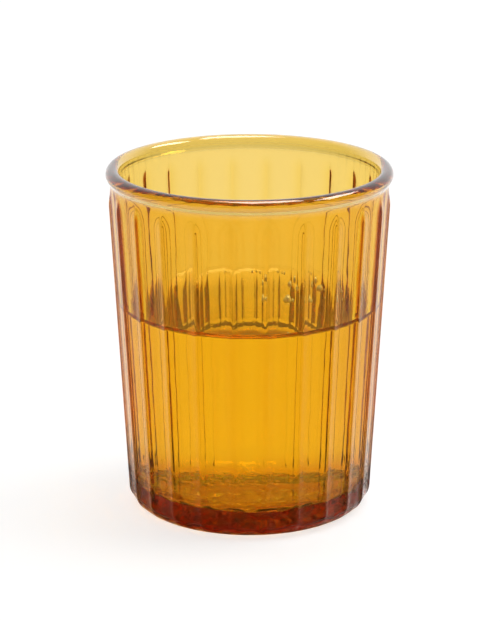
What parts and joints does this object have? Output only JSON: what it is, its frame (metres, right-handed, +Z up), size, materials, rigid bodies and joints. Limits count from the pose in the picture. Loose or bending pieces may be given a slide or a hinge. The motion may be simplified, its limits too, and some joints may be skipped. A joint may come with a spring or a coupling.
{
  "type": "tea glass",
  "caption": "Handleless fluted tea glass of pressed amber glass with a rounded rim and a thick base, part filled with a clear drink.",
  "frame": {"origin": "on the glass's axis, on the surface that it stands on", "axes": "+Z up along the glass's axis; a flute faces -Y, the side that the picture was taken from"},
  "size_m": [0.075, 0.075, 0.092],
  "materials": {
    "amber_glass": "gloss",
    "clear_drink": "gloss",
    "bubble_film": "gloss"
  },
  "bodies": {
    "tumbler": {"tumbler": "amber_glass"},
    "drink": {"drink": "clear_drink", "bubbles": "bubble_film"}
  },
  "joints": [
    {"name": "drink_swirl", "type": "hinge", "parent": "tumbler", "child": "drink", "pos_m": [0, 0, 0], "axis": [0, 0, 1], "continuous": true}
  ]
}
